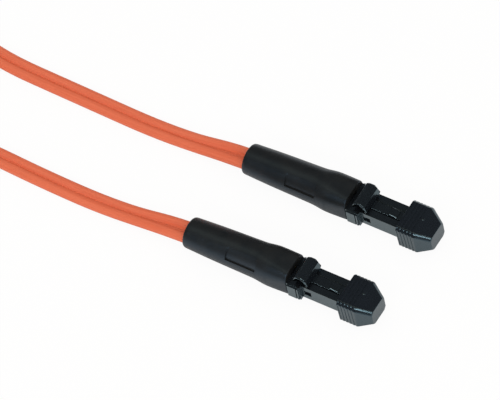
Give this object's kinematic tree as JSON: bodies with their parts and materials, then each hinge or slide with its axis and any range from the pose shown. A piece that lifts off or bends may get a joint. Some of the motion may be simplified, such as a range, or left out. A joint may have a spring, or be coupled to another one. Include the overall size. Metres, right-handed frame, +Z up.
{
  "type": "fibre patch cord",
  "caption": "Duplex fibre patch cord: flat orange two-lobe cord with slim latched black plugs, long boots and ribbed dust caps, its spare length coiled and tied.",
  "frame": {"origin": "middle of the two plugs' floor area, on the surface they lie on", "axes": "+X along the plugs, towards their dust caps; +Y towards the far plug; +Z up"},
  "size_m": [0.2201, 0.0728, 0.0114],
  "materials": {
    "plug_plastic": "black moulded plastic, satin",
    "boot_rubber": "soft black moulded boot, fine matt",
    "cap_plastic": "soft black moulded cap, satin",
    "ferrule_resin": "dark filled resin, polished at the front",
    "bright_steel": "plain stainless steel",
    "crimp_metal": "bright crimped sleeve",
    "aramid_yarn": "yellow strength yarn",
    "fibre_coating": "clear coated fibres",
    "cord_jacket": "orange extruded jacket, smooth matt",
    "tie_plastic": "black band"
  },
  "bodies": {
    "cord_and_plugs": {"plug_housing_a": "plug_plastic", "rear_body_a": "plug_plastic", "ferrule_spring_a": "bright_steel", "aramid_yarn_a": "aramid_yarn", "crimp_sleeve_a": "crimp_metal", "fibre_ribbon_a": "fibre_coating", "strain_relief_boot_a": "boot_rubber", "cord_lead_a": "cord_jacket", "plug_housing_b": "plug_plastic", "rear_body_b": "plug_plastic", "ferrule_spring_b": "bright_steel", "aramid_yarn_b": "aramid_yarn", "crimp_sleeve_b": "crimp_metal", "fibre_ribbon_b": "fibre_coating", "strain_relief_boot_b": "boot_rubber", "cord_lead_b": "cord_jacket", "cord_coil": "cord_jacket", "coil_tie": "tie_plastic"},
    "cap_a": {"dust_cap_a": "cap_plastic"},
    "latch_a": {"latch_lever_a": "plug_plastic"},
    "sprung_ferrule_a": {"ferrule_a": "ferrule_resin", "pin_keeper_a": "bright_steel"},
    "cap_b": {"dust_cap_b": "cap_plastic"},
    "latch_b": {"latch_lever_b": "plug_plastic"},
    "sprung_ferrule_b": {"ferrule_b": "ferrule_resin", "pin_keeper_b": "bright_steel"}
  },
  "joints": [
    {"name": "cap_a_pull", "type": "slide", "parent": "cord_and_plugs", "child": "cap_a", "axis": [1, 0, 0], "range_m": [0, 0.025]},
    {"name": "latch_a_press", "type": "hinge", "parent": "cord_and_plugs", "child": "latch_a", "pos_m": [0.0245, 0.0139, 0.00752], "axis": [0, -1, 0], "range_deg": [0, 2], "stiffness_Nm_per_rad": 0.5},
    {"name": "ferrule_a_push", "type": "slide", "parent": "cord_and_plugs", "child": "sprung_ferrule_a", "axis": [-1, 0, 0], "range_m": [0, 0.0006], "stiffness_N_per_m": 1500, "springref_m": -0.003, "deforming": ["ferrule_spring_a", "fibre_ribbon_a"]},
    {"name": "cap_b_pull", "type": "slide", "parent": "cord_and_plugs", "child": "cap_b", "axis": [1, 0, 0], "range_m": [0, 0.025]},
    {"name": "latch_b_press", "type": "hinge", "parent": "cord_and_plugs", "child": "latch_b", "pos_m": [0.0222, -0.0139, 0.00752], "axis": [0, -1, 0], "range_deg": [0, 2], "stiffness_Nm_per_rad": 0.5},
    {"name": "ferrule_b_push", "type": "slide", "parent": "cord_and_plugs", "child": "sprung_ferrule_b", "axis": [-1, 0, 0], "range_m": [0, 0.0006], "stiffness_N_per_m": 1500, "springref_m": -0.003, "deforming": ["ferrule_spring_b", "fibre_ribbon_b"]}
  ]
}
